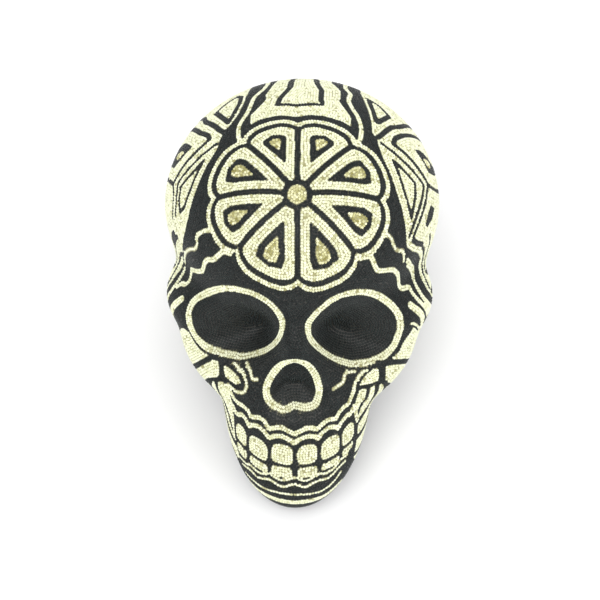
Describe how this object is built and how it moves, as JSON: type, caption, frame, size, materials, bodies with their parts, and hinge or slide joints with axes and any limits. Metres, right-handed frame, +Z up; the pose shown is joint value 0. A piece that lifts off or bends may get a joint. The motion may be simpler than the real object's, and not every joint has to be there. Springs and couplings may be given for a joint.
{
  "type": "huichol beaded figure",
  "caption": "Life-size skull covered with rows of black, cream and gold seed beads, with a flower on the forehead.",
  "frame": {"origin": "middle of the bounding box at the level the skull rests on", "axes": "+Z up, the face looks along -Y, +X is the right-hand side of the face as seen from in front"},
  "size_m": [0.1566, 0.2351, 0.1744],
  "materials": {
    "cast": "matt cast resin",
    "wax": "soft beeswax and pine resin",
    "black_beads": "opaque glossy glass",
    "cream_beads": "opaque glossy glass",
    "gold_beads": "metallic-lined glass"
  },
  "bodies": {
    "root": {"core": "cast", "wax_coat": "wax", "black_ground": "black_beads", "petal_1": "cream_beads", "petal_2": "cream_beads", "petal_3": "cream_beads", "petal_4": "cream_beads", "petal_5": "cream_beads", "petal_6": "cream_beads", "petal_7": "cream_beads", "petal_8": "cream_beads", "flower_border": "cream_beads", "crown_panel": "cream_beads", "crown_wave_left": "cream_beads", "crown_wave_right": "cream_beads", "side_left": "cream_beads", "side_right": "cream_beads", "temple_left": "cream_beads", "temple_right": "cream_beads", "brow_left": "cream_beads", "brow_right": "cream_beads", "eye_ring_left": "cream_beads", "eye_ring_right": "cream_beads", "nose_ring": "cream_beads", "cheek_left": "cream_beads", "cheek_right": "cream_beads", "gum_lines": "cream_beads", "upper_teeth": "cream_beads", "lower_teeth": "cream_beads", "chin_bands": "cream_beads", "jaw_left": "cream_beads", "jaw_right": "cream_beads", "medallion": "cream_beads", "crown_window": "black_beads", "side_lines_left": "black_beads", "side_lines_right": "black_beads", "jaw_lines_left": "black_beads", "jaw_lines_right": "black_beads", "inset_1": "gold_beads", "inset_2": "gold_beads", "inset_3": "gold_beads", "inset_4": "gold_beads", "inset_5": "gold_beads", "inset_6": "gold_beads", "inset_7": "gold_beads", "inset_8": "gold_beads", "flower_centre": "gold_beads"}
  },
  "joints": []
}
